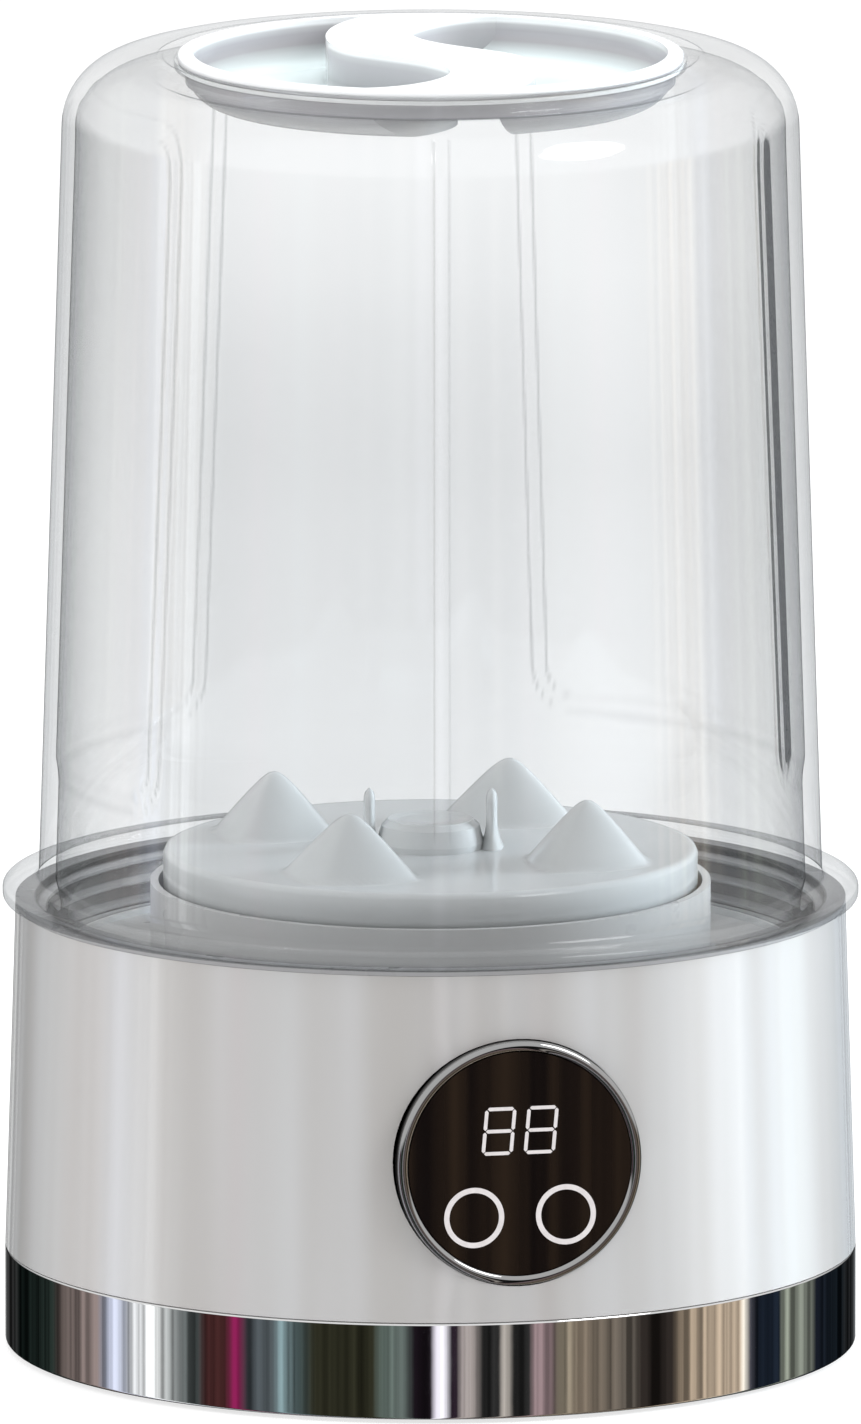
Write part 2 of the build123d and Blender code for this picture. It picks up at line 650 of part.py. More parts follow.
parts = {
    "base_shell": base_shell(),
    "chrome_band": chrome_band(),
    "deck": deck(),
    "bottom_plate": bottom_plate(),
    "rubber_feet": feet(),
    "base_screws": group(CORNERS, POST_AT, Pos(0, 0, FLOOR_Z) * screw(3.2, 1.4, 1.28, 14)),
    "jar_gasket": ring(SKIRT_IN_R - 0.2, RIDGE_R - 0.2, GUTTER_Z, SKIRT_BOTTOM - 0.1),
    "shaft_seal": ring(BUSH_IN_R, 8.0, 82, HUB_TOP - 0.5),
    "upper_bush": ring(BUSH_IN_R, 5.0, HOUSING_TOP + 2.2, 78),
    "lower_bush": ring(BUSH_IN_R, 5.0, HOUSING_FLOOR - 2, HOUSING_FLOOR + 4.5),
    "gearbox_housing": gearbox_housing(),
    "gearbox_cover": gearbox_cover(),
    "gearbox_screws": group(
        CORNERS, EAR_AT, Pos(0, 0, HOUSING_FLOOR - 2) * screw(3.0, 2, 1.28, 28)),
    "motor_can": motor_can(),
    "motor_magnets": motor_magnets(),
    "motor_end_cap": motor_end_cap(),
    "motor_bushes": Compound(children=[
        ring(MOTOR_BUSH_IN_R, 2.98, HOUSING_FLOOR - 4.5, HOUSING_FLOOR + 1.5, 0, MOTOR_Y),
        ring(MOTOR_BUSH_IN_R, 2.98, MOTOR_BOTTOM - 1.5, MOTOR_BOTTOM + 2, 0, MOTOR_Y),
    ]),
    "motor_tabs": Compound(children=[
        block(s * 12 - 1.5, s * 12 + 1.5, MOTOR_Y - 0.3, MOTOR_Y + 0.3, 6.4, 12.5)
        for s in (-1, 1)
    ]),
    "motor_screws": Compound(children=[
        Pos(s * 12, MOTOR_Y, HOUSING_FLOOR + 4.5) * screw(2.6, 2, 1.25, 3.9, tip_up=False)
        for s in (-1, 1)
    ]),
    "control_board": control_board(),
    "board_parts": board_parts(),
    "board_screws": Compound(children=[
        Pos(x, BOARD_Y + y, BOARD_Z + 3.1) * screw(2.4, 1.5, 1.05, 5, tip_up=False)
        for x in (-26, 26) for y in (-18, 18)
    ]),
    "motor_leads": motor_leads(),
    "power_leads": power_leads(),
    "power_socket": power_socket(),
    "power_pin": power_pin(),
    "power_socket_nut": power_socket_nut(),
    "panel_bezel": panel_bezel(),
    "panel_lens": front_rod(LENS_R, LENS_FACE - LENS_T, LENS_FACE, 0, PANEL_Z),
    "display_digits": display_digits(),
    "touch_rings": touch_rings(),
    "display_board": display_board(),
    "touch_pads": Compound(children=[
        front_rod(4.5, 77.65, LENS_FACE - LENS_T - 0.05, x, PANEL_Z + KEY_Z)
        for x in (-KEY_X, KEY_X)
    ]),
    "panel_screws": Compound(children=[
        Pos(s * 18.2, -74.8, PANEL_Z) * Rot(90, 0, 0) * screw(2.0, 1.2, 1.05, 4)
        for s in (-1, 1)
    ]),
    "pulsator": pulsator(),
    "pulsator_cap": pulsator_cap(),
    "drive_shaft": rod(SHAFT_R, 43.5, 103.5),
    "drive_gear": drive_gear(),
    "shaft_washers": Compound(children=[
        ring(SHAFT_R + 0.01, 5.5, HOUSING_FLOOR + 4.8, HOUSING_FLOOR + 5.6),
        ring(SHAFT_R + 0.01, 5.5, HOUSING_TOP + 1.0, HOUSING_TOP + 1.8),
    ]),
    "shaft_clip": ring(SHAFT_R - 0.0, 5.2, HOUSING_FLOOR - 3.4, HOUSING_FLOOR - 2.4),
    "motor_shaft": rod(MOTOR_SHAFT_R, 7.6, GEAR_Z + GEAR_T + 2, 0, MOTOR_Y),
    "rotor_core": rotor_core(),
    "rotor_windings": rotor_windings(),
    "commutator": ring(MOTOR_SHAFT_R + 0.01, 3.6, 12.2, 15.2, 0, MOTOR_Y),
    "pinion": pinion(),
    "jar": jar(),
    "lid": lid(),
    "lid_gasket": ring(PAN_R + 0.05, RIM_R - 0.1, LID_TOP - RIM_T - 0.8, LID_TOP - RIM_T),
}

os.makedirs("parts", exist_ok=True)
for name, solid in parts.items():
    export_step(solid, f"parts/{name}.step")
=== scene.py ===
import json
from math import atan2, cos, degrees, hypot, pi, radians, sin, sqrt

import bpy
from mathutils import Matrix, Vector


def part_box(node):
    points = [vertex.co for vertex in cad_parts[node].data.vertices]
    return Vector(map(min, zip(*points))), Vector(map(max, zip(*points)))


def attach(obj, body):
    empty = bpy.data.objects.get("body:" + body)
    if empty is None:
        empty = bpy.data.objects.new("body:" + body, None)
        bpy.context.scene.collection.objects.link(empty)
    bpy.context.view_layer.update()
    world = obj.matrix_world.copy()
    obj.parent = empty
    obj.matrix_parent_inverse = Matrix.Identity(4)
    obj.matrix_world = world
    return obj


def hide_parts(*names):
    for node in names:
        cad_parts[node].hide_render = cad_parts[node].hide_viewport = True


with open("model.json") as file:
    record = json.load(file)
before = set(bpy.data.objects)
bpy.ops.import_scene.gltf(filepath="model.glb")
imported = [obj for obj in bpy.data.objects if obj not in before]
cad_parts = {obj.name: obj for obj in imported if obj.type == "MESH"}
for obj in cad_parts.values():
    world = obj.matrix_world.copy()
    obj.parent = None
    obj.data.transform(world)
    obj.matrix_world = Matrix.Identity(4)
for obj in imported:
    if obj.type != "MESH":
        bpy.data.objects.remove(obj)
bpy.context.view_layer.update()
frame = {"nodes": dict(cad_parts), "record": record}
MM = 0.001

# Portable mini washer: a white base with a chrome foot band and a round touch panel, a clear
# jar over a finned pulsator, and a lid with an S-shaped handle. Lengths are in millimetres
# until a mesh is made, and in metres in the studio. +Z is up and the panel faces -Y. Angles are
# in degrees and measured from -Y to +X.

# ---- sizes taken from the frame ----
JAR_LOW, JAR_HIGH = (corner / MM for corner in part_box("jar"))
LID_LOW, LID_HIGH = (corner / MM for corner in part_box("lid"))
PULSATOR_LOW, PULSATOR_HIGH = (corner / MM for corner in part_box("pulsator"))
CAP_LOW, CAP_HIGH = (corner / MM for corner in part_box("pulsator_cap"))
SHELL_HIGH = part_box("base_shell")[1] / MM

# ---- jar ----
SLIVER = 0.02                     # keeps two faces from lying in one place
COLLAR_R = JAR_HIGH.x - SLIVER
COLLAR_BOTTOM = SHELL_HIGH.z + 1.15
COLLAR_TOP = COLLAR_BOTTOM + 3.0
COLLAR_ROUND_LOW = 0.8
COLLAR_ROUND_HIGH = 1.1
WALL = 3.4
WALL_R = COLLAR_R - 7.2           # outside of the wall just above the collar
WALL_STEPS = 92                   # rows of points up the wall's inside, which carries the relief
SHOULDER_R = WALL_R - 4.9         # outside of the wall under the shoulder
SHOULDER_Z = 246.0
SHOULDER_ROUND = 13.7
LEAN = 2                          # angle that the wall leans in
SKIRT_OUT = 76.2
SKIRT_IN = 73.8
EASE = 0.3                        # small bevel on the skirt and the neck
LID_R = LID_HIGH.x
TOP_Z = LID_HIGH.z - 1.0
LEDGE_Z = LID_HIGH.z - 2.9        # the lid's rim lies on this ledge
LEDGE_IN = LID_R - 1.2
NECK_R = LID_R + 0.6              # leaves a gap round the lid
NECK_OUT = 54.0
NECK_BOTTOM = TOP_Z - 4.2
BEAD_R = 53.8                     # middle of the raised ring round the neck
BEAD_ROUND = 0.7
BEAD_IN = 52.2
BEAD_OUT = 55.2

# ---- relief on the jar's inside: a panel on each side, sunk in two steps, and a rib ----
RELIEF_STEP = 0.35                # depth of a step
STEP_W = 0.7                      # width of a step's slope
RELIEF_BORDER = 2.9               # from the first step to the second
RELIEF_TURN = -1.2                # angle that the two panels mirror each other about
RELIEF_MIDDLE = 105.2             # angle from there to the middle of a panel
RELIEF_HALF_TOP = 50.5            # half the angle that a panel spans
RELIEF_HALF_BOTTOM = 48.0
RELIEF_BOTTOM = 115.0
RELIEF_TOP = 253.5
RELIEF_CORNER = 9.0
RIB_AT = -10.2
RIB_HALF = 1.7
RIB_H = 0.8
RIB_SOFT = 0.8                    # width of the rib's slope
RIB_FOOT = 0.3                    # share of that slope that lies beyond RIB_HALF

# ---- painted shade on the jar: a share of 1 is the full painted shade of the relief's steps ----
STEP_SHADE = 4                     # makes the middle of a step's slope the full painted shade
RIB_SHADE = 2                      # makes the middle of the rib's slope half the full painted shade
FLAT_LINE = 0.25                  # a level step gets this share of the painted shade that an upright one gets
COLLAR_SHADE = 0.35                # painted shade of the collar, as a share of the full
COLLAR_SHADE_FROM = WALL_R + 2
FLAT_SHARE = 0.9                  # the shoulder greys less at a slant than the wall
PAINTED_BAR_SHARE = 0.75                 # painted dark reflection: more grey at a slant in an upright band by the right panel's front
PAINTED_BAR_WIDE = 7.6
PAINTED_BAR_SOFT = 0.8
LOW_SHADE = 0.22                       # painted shade of the wall's lower front and back, also a share
LOW_SHADE_TOP = 232.0
LOW_SHADE_DEPTH = 45.0
LOW_SHADE_FRONT = 70.0
LOW_SHADE_BACK = 135.0
LOW_SHADE_SOFT = 25.0

# ---- upright lines of the jar's mesh ----
WIDE_TURN = 2                     # angle between two lines
FINE_TURN = 0.3                   # the same where the relief bends
NEAR_EDGE = 36                    # fine lines on each side of a panel's edge
NEAR_RIB = 10                     # and of the rib's middle

# ---- pulsator ----
PLATE_R = PULSATOR_HIGH.x
PLATE_Z = CAP_LOW.z
FIN_AT = 35.0
FIN_TURN = -39.0
FIN_H = PULSATOR_HIGH.z - PLATE_Z
FIN_HALF = 14.5
FIN_THICK = 13.0
FIN_CREST = 1.45                  # 1 gives four flat faces, 2 a round cone
FIN_TIP = 0.2                     # how round the fin's tip is
HUB_IN = 3.0
HUB_OUT = 7.0
RIM_T = 1.8
RIM_ROUND = 1.2
PLATE_T = 2.3
BLADE_AT = CAP_HIGH.x + 1.5
BLADE_TURN = 78.0
BLADE_LOW = PLATE_Z - 0.5
BLADE_TOP = PULSATOR_HIGH.z - 0.5
BLADE_HALF_T = 1.15
BLADE_HALF_W = 4.6
BLADE_TAPER = 2.0                 # how much narrower the blade's half is at the top
FOOT_T = 1.5                      # how much the blade's foot spreads, thick and wide
FOOT_W = 1.6
FOOT_RISE = 2.2                   # the foot ends at 1 / 2.2 of the blade's height
CROWN_FROM = 0.8                  # the blade's top rounds off above this share of its height
CROWN_CLOSE = 0.98                # 1 closes the top to a point
BLADE_SQUARE = 0.8                # 1 makes the blade's outline an oval, less squares it

# ---- panel ----
BEZEL_CROWN = 0.9                 # height of the ring's round
BEZEL_LIP = 1.4                   # how far the ring reaches in behind the window
BEZEL_LIP_AT = 1.9                # from the window's face to that lip


def polar(radius, angle):
    """X and Y of a point at an angle from the front, in millimetres."""
    return radius * sin(radians(angle)), -radius * cos(radians(angle))


def make_object(name, points, faces, body, slot, look=None):
    """Mesh object from points in millimetres, riding on a body with a slot's finish."""
    mesh = bpy.data.meshes.new(name)
    mesh.from_pydata([(x * MM, y * MM, z * MM) for x, y, z in points], [], faces)
    mesh.validate()
    mesh.update()
    mesh.shade_smooth()
    thing = bpy.data.objects.new(name, mesh)
    bpy.context.scene.collection.objects.link(thing)
    mesh.materials.append(LOOKS[look or slot])
    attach(thing, body)
    return thing


def ring_faces(rows, around, closed):
    """Quads between rows of points that each go once round. Closed joins the last row to the
    first."""
    faces = []
    for row in range(rows if closed else rows - 1):
        this, following = row * around, (row + 1) % rows * around
        for i in range(around):
            j = (i + 1) % around
            faces.append((this + i, this + j, following + j, following + i))
    return faces


def arc(centre_r, centre_z, radius, start, end, steps):
    """Points of an arc in the profile plane, angles in degrees from +R towards +Z."""
    points = []
    for step in range(steps + 1):
        angle = radians(start + (end - start) * step / steps)
        points.append((centre_r + radius * cos(angle), centre_z + radius * sin(angle)))
    return points


def smooth_step(value):
    """0 to 1 with flat ends."""
    value = min(1.0, max(0.0, value))
    return value * value * (3 - 2 * value)


# ---- materials ----
GLOSS_CAP = 0.16                  # most that the clear plastic mirrors at a slant
EDGE_TONE = 0.05                  # tint of what the chrome mirrors almost edge on
TONES_AND_SHADE_FROM = 74.0                 # radii that the deck's tones and its painted groove shade run between
TONES_AND_SHADE_TO = 84.0


def set_sockets(node, sockets):
    """Puts plain values on a node's sockets, whose names have _ for a space."""
    for socket, value in sockets.items():
        node.inputs[socket.replace("_", " ")].default_value = value
    return node


def add_node(tree, kind, **sockets):
    """New shader node with plain values on its sockets."""
    return set_sockets(tree.nodes.new("ShaderNode" + kind), sockets)


def add_math(tree, operation, second=0.5):
    """New math node with a plain second value."""
    node = add_node(tree, "Math")
    node.operation = operation
    node.inputs[1].default_value = second
    return node


def new_look(name, colour, rough, **sockets):
    """Principled material with plain values on its sockets."""
    look = bpy.data.materials.new(name)
    look.use_nodes = True
    shader = look.node_tree.nodes["Principled BSDF"]
    set_sockets(shader, {"Base Color": (*colour, 1), "Roughness": rough, **sockets})
    return look


def noise(look, scale, detail, stretch):
    """Noise in the object's own metres, stretched along the axes."""
    tree = look.node_tree
    place = add_node(tree, "TexCoord")
    mapping = add_node(tree, "Mapping", Scale=stretch)
    texture = add_node(tree, "TexNoise", Scale=scale, Detail=detail)
    tree.links.new(place.outputs["Object"], mapping.inputs["Vector"])
    tree.links.new(mapping.outputs["Vector"], texture.inputs["Vector"])
    return texture


def colour_ramp(tree, stops):
    """Ramp node with a colour at each place."""
    node = add_node(tree, "ValToRGB")
    elements = node.color_ramp.elements
    while len(elements) < len(stops):
        elements.new(0.5)
    for element, (at, colour) in zip(elements, stops):
        element.position = at
        element.color = (*colour, 1)
    return node


def vary_rough(look, low, high, scale, stretch=(1, 1, 1)):
    """Roughness that wanders between two values."""
    tree = look.node_tree
    spread = add_node(tree, "MapRange", From_Min=0.3, From_Max=0.7, To_Min=low, To_Max=high)
    tree.links.new(noise(look, scale, 4.0, stretch).outputs["Fac"], spread.inputs["Value"])
    tree.links.new(spread.outputs["Result"], tree.nodes["Principled BSDF"].inputs["Roughness"])


def vary_colour(look, first, second, scale, stretch=(1, 1, 1)):
    """Base colour that wanders between two close shades."""
    tree = look.node_tree
    ramp = colour_ramp(tree, ((0.35, first), (0.65, second)))
    tree.links.new(noise(look, scale, 2.0, stretch).outputs["Fac"], ramp.inputs["Fac"])
    tree.links.new(ramp.outputs["Color"], tree.nodes["Principled BSDF"].inputs["Base Color"])


def vary_surface(look, scale, strength, stretch=(1, 1, 1)):
    """Fine unevenness of the surface."""
    tree = look.node_tree
    bump = add_node(tree, "Bump", Strength=strength, Distance=0.4 * MM)
    tree.links.new(noise(look, scale, 4.0, stretch).outputs["Fac"], bump.inputs["Height"])
    tree.links.new(bump.outputs["Normal"], tree.nodes["Principled BSDF"].inputs["Normal"])


def plastic(name, first, second, rough, grain, **sockets):
    """Moulded plastic: two close shades, uneven gloss and a fine skin."""
    look = new_look(name, first, rough, **sockets)
    vary_colour(look, first, second, 18)
    vary_rough(look, rough * 0.8, rough * 1.25, 60)
    vary_surface(look, 900, grain)
    return look


def streaked(name, first, second, rough, **sockets):
    """Gloss plastic drawn in faint upright streaks."""
    look = new_look(name, first, rough, **sockets)
    vary_colour(look, first, second, 55, (1, 1, 0.02))
    vary_rough(look, rough * 0.8, rough * 1.25, 60, (1, 1, 0.1))
    vary_surface(look, 900, 0.01)
    return look


def window_with_painted_streaks():
    """Near-black window with faint upright streaks painted into its colour as reflections."""
    look = new_look("black_window", (0.005, 0.004, 0.004), 0.06, Specular_IOR_Level=0.3)
    # painted reflection: faint upright dark brown streaks
    vary_colour(look, (0.001, 0.001, 0.002), (0.022, 0.014, 0.009), 130, (1, 1, 0.01))
    vary_rough(look, 0.04, 0.08, 60)
    return look


def deck_grey():
    """Grey moulding whose tone follows the radius, with painted shade near black in the grooves of
    the socket's wall.
    """
    look = new_look("deck_grey", (0.28, 0.285, 0.29), 0.3, Specular_IOR_Level=0.25)
    tree = look.node_tree
    place = add_node(tree, "TexCoord")
    flat = add_node(tree, "VectorMath")
    flat.operation = "MULTIPLY"
    flat.inputs[1].default_value = (1, 1, 0)
    reach = add_node(tree, "VectorMath")
    reach.operation = "LENGTH"
    depth = add_node(tree, "MapRange", From_Min=TONES_AND_SHADE_FROM * MM, From_Max=TONES_AND_SHADE_TO * MM)
    # lighter inside, then painted shade near black in the groove, then grey again
    ramp = colour_ramp(tree, (
        (0.0, (0.5, 0.5, 0.5)), (0.3, (0.38, 0.38, 0.385)), (0.39, (0.3, 0.3, 0.305)),
        (0.44, (0.035, 0.035, 0.037)), (0.49, (0.035, 0.035, 0.037)), (0.52, (0.3, 0.3, 0.305)),
    ))
    link = tree.links.new
    link(place.outputs["Object"], flat.inputs[0])
    link(flat.outputs["Vector"], reach.inputs[0])
    link(reach.outputs["Value"], depth.inputs["Value"])
    link(depth.outputs["Result"], ramp.inputs["Fac"])
    link(ramp.outputs["Color"], tree.nodes["Principled BSDF"].inputs["Base Color"])
    vary_rough(look, 0.25, 0.36, 60)
    vary_surface(look, 900, 0.01)
    return look


def lid_white():
    """White gloss lid, with painted shade grey down its walls and painted light, faintly cyan, on
    the pocket floors that face up.
    """
    look = new_look("lid_white", (0.88, 0.88, 0.88), 0.14, Coat_Weight=0.3,
                    Coat_Roughness=0.05)
    tree = look.node_tree
    link = tree.links.new
    place = add_node(tree, "TexCoord")
    parts = add_node(tree, "SeparateXYZ")
    rise = add_node(tree, "MapRange", From_Min=LID_LOW.z * MM, From_Max=LID_HIGH.z * MM)
    # painted shade: grey by height, darkest about a third of the way up the lid
    painted_wall_shade = colour_ramp(tree, (
        (0.0, (0.5, 0.5, 0.5)), (0.1, (0.52, 0.52, 0.52)), (0.3, (0.33, 0.33, 0.34)),
        (0.75, (0.4, 0.39, 0.41)), (0.86, (0.48, 0.48, 0.49)), (0.92, (0.78, 0.79, 0.8)),
    ))
    # painted light: faces below the rim that look up are lighter and faintly cyan
    facing = add_node(tree, "SeparateXYZ")
    lit_floor_share = add_node(tree, "MapRange", From_Min=0.3, From_Max=0.9)
    below_rim = add_node(tree, "MapRange", From_Min=0.85, From_Max=0.6)
    share = add_math(tree, "MULTIPLY")
    mix = add_node(tree, "Mix")
    mix.data_type = "RGBA"
    mix.inputs["B"].default_value = (0.72, 0.82, 0.83, 1)
    link(place.outputs["Object"], parts.inputs["Vector"])
    link(parts.outputs["Z"], rise.inputs["Value"])
    link(rise.outputs["Result"], painted_wall_shade.inputs["Fac"])
    link(place.outputs["Normal"], facing.inputs["Vector"])
    link(facing.outputs["Z"], lit_floor_share.inputs["Value"])
    link(rise.outputs["Result"], below_rim.inputs["Value"])
    link(lit_floor_share.outputs["Result"], share.inputs[0])
    link(below_rim.outputs["Result"], share.inputs[1])
    link(share.outputs["Value"], mix.inputs["Factor"])
    link(painted_wall_shade.outputs["Color"], mix.inputs["A"])
    link(mix.outputs["Result"], tree.nodes["Principled BSDF"].inputs["Base Color"])
    vary_rough(look, 0.1, 0.2, 60)
    vary_surface(look, 900, 0.01)
    return look


def metal(name, first, second, rough, stretch):
    """Worked metal with a grain along one direction."""
    look = new_look(name, first, rough, Metallic=1.0)
    vary_colour(look, first, second, 300, stretch)
    vary_rough(look, rough * 0.7, rough * 1.4, 500, stretch)
    vary_surface(look, 700, 0.08, stretch)
    return look


def clear_plastic():
    """Clear moulded jar: see-through, greyer where it is seen edge on, with a light gloss,
    painted shade on the relief's steps and rib, the collar and the wall's lower front and back,
    and a painted dark reflection by the right panel's front.
    """
    look = new_look("clear_plastic", (0.96, 0.96, 0.96), 0.03, Metallic=1.0)
    vary_rough(look, 0.015, 0.05, 40)
    tree = look.node_tree
    link = tree.links.new
    slant = add_node(tree, "LayerWeight", Blend=0.5)
    # slant share, raised in a band by the right panel's front to paint a dark reflection there
    share = add_node(tree, "Attribute")
    share.attribute_name = "slant_share_with_painted_bar"
    edge = add_math(tree, "MULTIPLY")
    shades = colour_ramp(tree, (
        (0.0, (0.975, 0.978, 0.98)), (0.6, (0.985, 0.988, 0.99)), (0.72, (0.95, 0.953, 0.955)),
        (0.82, (0.85, 0.855, 0.86)), (0.92, (0.73, 0.735, 0.74)), (1.0, (0.25, 0.255, 0.26)),
    ))
    # painted shade on the relief's steps and rib, the collar and the wall's lower front and back
    painted_shade = add_node(tree, "Attribute")
    painted_shade.attribute_name = "painted_shade_share"
    painted_shade_tint = colour_ramp(tree, ((0.0, (1, 1, 1)), (1.0, (0.7, 0.705, 0.71))))
    tint = add_node(tree, "Mix")
    tint.data_type = "RGBA"
    tint.blend_type = "MULTIPLY"
    tint.inputs["Factor"].default_value = 1.0
    through = add_node(tree, "BsdfTransparent")
    mirror = add_node(tree, "Fresnel", IOR=1.4)
    cap = add_math(tree, "MINIMUM", GLOSS_CAP)
    mix = add_node(tree, "MixShader")
    link(slant.outputs["Facing"], edge.inputs[0])
    link(share.outputs["Fac"], edge.inputs[1])
    link(edge.outputs["Value"], shades.inputs["Fac"])
    link(painted_shade.outputs["Fac"], painted_shade_tint.inputs["Fac"])
    link(shades.outputs["Color"], tint.inputs["A"])
    link(painted_shade_tint.outputs["Color"], tint.inputs["B"])
    link(tint.outputs["Result"], through.inputs["Color"])
    link(mirror.outputs["Fac"], cap.inputs[0])
    link(cap.outputs["Value"], mix.inputs["Fac"])
    link(through.outputs["BSDF"], mix.inputs[1])
    link(tree.nodes["Principled BSDF"].outputs["BSDF"], mix.inputs[2])
    link(mix.outputs["Shader"], tree.nodes["Material Output"].inputs["Surface"])
    return look


def lit_white():
    """Lit figures and key rings behind the window."""
    look = new_look("lit_white", (0.5, 0.47, 0.47), 0.5, Emission_Strength=0.17,
                    Emission_Color=(0.95, 0.9, 0.9, 1))
    vary_colour(look, (0.48, 0.45, 0.45), (0.54, 0.51, 0.51), 600)
    return look


def chrome(name, tone):
    """Bright plated trim."""
    look = new_look(name, (tone, tone, tone), 0.04, Metallic=1.0,
                    Specular_Tint=(EDGE_TONE, EDGE_TONE, EDGE_TONE, 1))
    vary_rough(look, 0.015, 0.05, 90)
    vary_surface(look, 40, 0.03)
    return look


LOOKS = {
    "shell_white": streaked("shell_white", (0.4, 0.385, 0.375), (0.48, 0.48, 0.485), 0.16,
                            Coat_Weight=1.0, Coat_Roughness=0.05),
    "lid_white": lid_white(),
    "deck_grey": deck_grey(),
    "pulsator_white": plastic("pulsator_white", (0.52, 0.535, 0.54), (0.56, 0.575, 0.58),
                              0.16, 0.015),
    "chrome": chrome("chrome", 0.9),
    # darker copy of the chrome: painted shade standing in for the dark surroundings that the bezel
    # mirrors
    "bezel_chrome_painted_dark": chrome("bezel_chrome_painted_dark", 0.45),
    "clear": clear_plastic(),
    "black_window": window_with_painted_streaks(),
    "lit_white": lit_white(),
    "silicone": plastic("silicone", (0.72, 0.73, 0.73), (0.76, 0.77, 0.77), 0.45, 0.05),
    "black_rubber": plastic("black_rubber", (0.02, 0.02, 0.02), (0.03, 0.03, 0.03), 0.7, 0.3),
    "inner_plastic": plastic("inner_plastic", (0.05, 0.05, 0.053), (0.065, 0.065, 0.07), 0.5, 0.2),
    "gear_plastic": plastic("gear_plastic", (0.78, 0.75, 0.66), (0.82, 0.79, 0.71), 0.4, 0.06),
    "board_green": plastic("board_green", (0.02, 0.14, 0.05), (0.03, 0.17, 0.06), 0.3, 0.05),
    "board_black": plastic("board_black", (0.03, 0.03, 0.035), (0.05, 0.05, 0.055), 0.4, 0.1),
    "steel": metal("steel", (0.56, 0.56, 0.57), (0.62, 0.62, 0.63), 0.28, (1, 1, 12)),
    "bronze": metal("bronze", (0.6, 0.4, 0.2), (0.68, 0.46, 0.24), 0.35, (1, 1, 8)),
    "magnet": plastic("magnet", (0.06, 0.06, 0.062), (0.09, 0.09, 0.09), 0.55, 0.2),
    "wire": plastic("wire", (0.35, 0.03, 0.02), (0.42, 0.04, 0.03), 0.4, 0.05),
}
OTHER_LOOKS = {"pulsator_cap": "pulsator_white", "lid": "lid_white"}     # not their slot's own


def dress_nodes():
    """Gives each CAD node the look of its slot, or another where OTHER_LOOKS has one."""
    for part in frame["record"]["subparts"]:
        slots = frame["nodes"][part["node"]].material_slots
        for place in slots:
            place.link = "OBJECT"
            place.material = LOOKS[OTHER_LOOKS.get(part["node"], part["material_slot"])]


# ---- jar ----
def relief(angle, height, radius):
    """How far the jar's inside is pushed outwards at a place, how much painted shade its steps and
    rib give it, and how much of the painted dark reflection, an upright band just inside the front
    edge of the right panel, it gets."""
    turn = (angle + 180) % 360 - 180
    side = abs(turn - RELIEF_TURN)
    side = min(side, 360 - side)
    rise = (height - RELIEF_BOTTOM) / (RELIEF_TOP - RELIEF_BOTTOM)
    half = RELIEF_HALF_BOTTOM + (RELIEF_HALF_TOP - RELIEF_HALF_BOTTOM) * rise
    across = abs(side - RELIEF_MIDDLE) - half
    across = radians(across) * radius + RELIEF_CORNER
    middle = (RELIEF_TOP + RELIEF_BOTTOM) / 2
    up = abs(height - middle) - (RELIEF_TOP - RELIEF_BOTTOM) / 2 + RELIEF_CORNER
    aside, above = max(across, 0.001), max(up, 0)
    outside = hypot(aside, above) + min(max(across, up), 0) - RELIEF_CORNER
    upright = aside ** 2 / (aside ** 2 + above ** 2)
    first = min(1.0, max(0.0, -outside / STEP_W))
    second = min(1.0, max(0.0, (-outside - RELIEF_BORDER) / STEP_W))
    push = RELIEF_STEP * (first + second)
    # painted shade on the slopes of the steps, less where they lie level
    painted_shade = STEP_SHADE * max(first * (1 - first), second * (1 - second))
    painted_shade *= FLAT_LINE + (1 - FLAT_LINE) * upright
    from_rib = radians(abs(turn - RIB_AT)) * radius
    if RELIEF_BOTTOM < height < RELIEF_TOP:
        rib = smooth_step((RIB_HALF - from_rib) / RIB_SOFT + RIB_FOOT)
        push -= RIB_H * rib
        painted_shade = max(painted_shade, RIB_SHADE * rib * (1 - rib))
    painted_bar = 0.0
    # painted dark reflection: an upright band just inside the right panel's front edge
    if 0 < turn - RELIEF_TURN < RELIEF_MIDDLE:
        painted_bar = smooth_step((-outside - STEP_W) / PAINTED_BAR_SOFT) * upright
        painted_bar *= 1 - smooth_step((-outside - PAINTED_BAR_WIDE) / PAINTED_BAR_SOFT)
    return push, painted_shade, painted_bar


def painted_low_shade(angle, height):
    """How much painted shade the wall gets at a place: its front and back get some, low down."""
    turn = abs((angle + 180) % 360 - 180)
    front = smooth_step((LOW_SHADE_FRONT - turn) / LOW_SHADE_SOFT)
    back = smooth_step((turn - LOW_SHADE_BACK) / LOW_SHADE_SOFT)
    down = smooth_step((LOW_SHADE_TOP - height) / LOW_SHADE_DEPTH)
    return LOW_SHADE * max(front, back) * down


def jar_angles():
    """Angles of the jar's upright lines, closer where the relief bends."""
    edges = [side * (RELIEF_MIDDLE + half) + RELIEF_TURN
             for side in (-1, 1) for half in (-RELIEF_HALF_TOP, RELIEF_HALF_TOP)]
    angles = {float(angle) for angle in range(-180, 180, WIDE_TURN)}
    for mark, near in [(edge, NEAR_EDGE) for edge in edges] + [(RIB_AT, NEAR_RIB)]:
        angles |= {round(mark + step * FINE_TURN, 2) for step in range(-near, near + 1)}
    return sorted(angle for angle in angles if -180 <= angle < 180)


